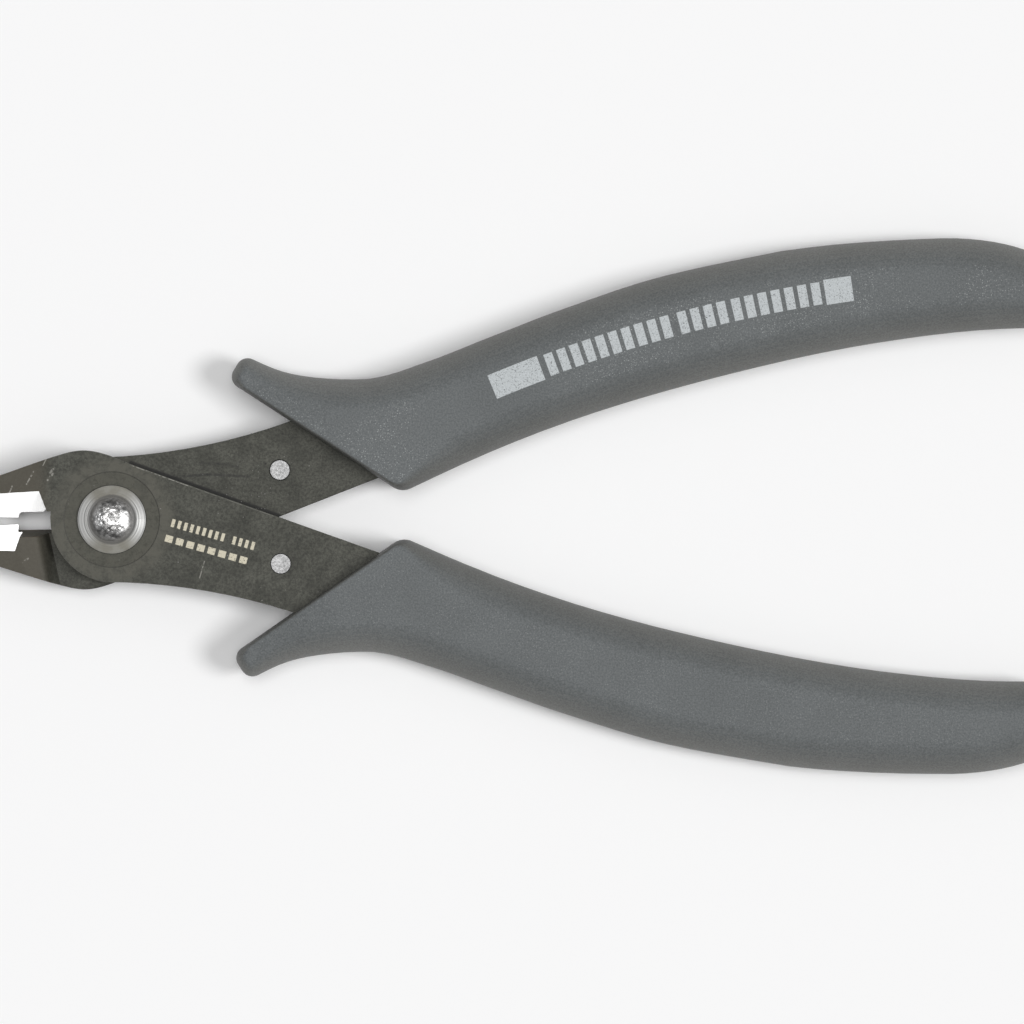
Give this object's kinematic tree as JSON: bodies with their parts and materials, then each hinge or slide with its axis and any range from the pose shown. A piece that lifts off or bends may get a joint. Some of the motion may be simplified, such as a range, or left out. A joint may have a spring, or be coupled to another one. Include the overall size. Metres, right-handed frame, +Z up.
{
  "type": "sprue nippers",
  "caption": "Small side-cutting nippers: two blackened steel halves on a riveted pivot, with flared grey moulded grips, bevelled jaws and a wire return spring behind.",
  "frame": {"origin": "under the middle of the tool's length and width, on the surface that the grips rest on", "axes": "+X from the jaw tips to the handle ends, +Y to the upper grip, +Z up to the front face"},
  "size_m": [0.127, 0.0584, 0.01],
  "materials": {
    "blackened_steel": "stamped carbon steel, blackened, satin, with small rubbed marks",
    "bright_steel": "turned and peened bright steel",
    "washer_steel": "plain steel, satin",
    "post_steel": "bright steel with a matt, grainy end",
    "spring_wire": "drawn spring steel wire",
    "grip_plastic": "grey moulded plastic with a fine matt grain"
  },
  "bodies": {
    "front_half": {"front_plate": "blackened_steel", "lower_grip": "grip_plastic", "pivot_rivet": "bright_steel", "rivet_collar": "bright_steel", "rear_washer": "washer_steel", "front_spring_post": "post_steel", "return_spring": "spring_wire"},
    "rear_half": {"rear_plate": "blackened_steel", "upper_grip": "grip_plastic", "rear_spring_post": "post_steel"}
  },
  "joints": [
    {"name": "pivot", "type": "hinge", "parent": "front_half", "child": "rear_half", "pos_m": [-0.0405, 0, 0.005], "axis": [0, 0, 1], "range_deg": [-4, 0], "stiffness_Nm_per_rad": 5, "deforming": ["return_spring"]}
  ]
}
